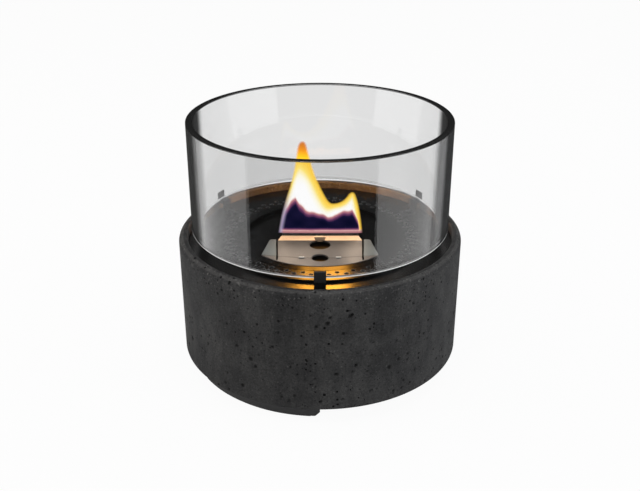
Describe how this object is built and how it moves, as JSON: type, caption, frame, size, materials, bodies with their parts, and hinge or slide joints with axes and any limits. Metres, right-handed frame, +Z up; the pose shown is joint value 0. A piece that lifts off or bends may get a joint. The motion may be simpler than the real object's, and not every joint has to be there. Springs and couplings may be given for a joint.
{
  "type": "tabletop fire pit",
  "caption": "Round concrete tabletop fire: a glass cylinder on clips round a liquid-fuel burner with a sliding snuffer lid.",
  "frame": {"origin": "on the table, at the middle of the three feet", "axes": "+Z up, the front with the lid and one clip towards -Y, +X to the right"},
  "size_m": [0.21, 0.21, 0.1878],
  "materials": {
    "concrete": "matt cast concrete, fine pores",
    "foot_plastic": "matt moulded",
    "black_rubber": "matt",
    "black_steel": "black heat-proof coating, semi-matt",
    "satin_steel": "satin stainless",
    "tank_steel": "plain stainless",
    "clear_glass": "clear, ground edges",
    "ceramic_wool": "soft fibre",
    "screw_steel": "plain",
    "grey_plastic": "matt"
  },
  "bodies": {
    "base": {"concrete_body": "concrete", "rim_gasket": "black_rubber", "liner_pan": "black_steel", "foot_screws": "screw_steel", "wall_plugs": "grey_plastic", "clip_screws": "screw_steel", "clip_nuts": "screw_steel", "foot_front_left": "foot_plastic", "foot_right": "foot_plastic", "foot_back_left": "foot_plastic", "foot_pad_front_left": "black_rubber", "foot_pad_right": "black_rubber", "foot_pad_back_left": "black_rubber", "clip_front": "black_steel", "clip_right": "black_steel", "clip_left": "black_steel", "clip_pad_front": "black_rubber", "clip_pad_right": "black_rubber", "clip_pad_left": "black_rubber"},
    "glass": {"glass_cylinder": "clear_glass"},
    "plate": {"vent_plate": "black_steel"},
    "burner": {"burner_top": "black_steel", "burner_tank": "tank_steel", "slot_collar": "tank_steel", "fuel_wool": "ceramic_wool", "wool_screen": "tank_steel", "lid_guide_left": "satin_steel", "lid_guide_right": "satin_steel", "lid_apron": "satin_steel"},
    "lid": {"snuffer_lid": "satin_steel"}
  },
  "joints": [
    {"name": "glass_lift", "type": "slide", "parent": "base", "child": "glass", "axis": [0, 0, 1], "range_m": [0, 0.1]},
    {"name": "plate_lift", "type": "slide", "parent": "base", "child": "plate", "axis": [0, 0, 1], "range_m": [0, 0.06]},
    {"name": "burner_lift", "type": "slide", "parent": "plate", "child": "burner", "axis": [0, 0, 1], "range_m": [0, 0.07]},
    {"name": "lid_slide", "type": "slide", "parent": "burner", "child": "lid", "axis": [0, 1, 0], "range_m": [0, 0.0136]}
  ]
}
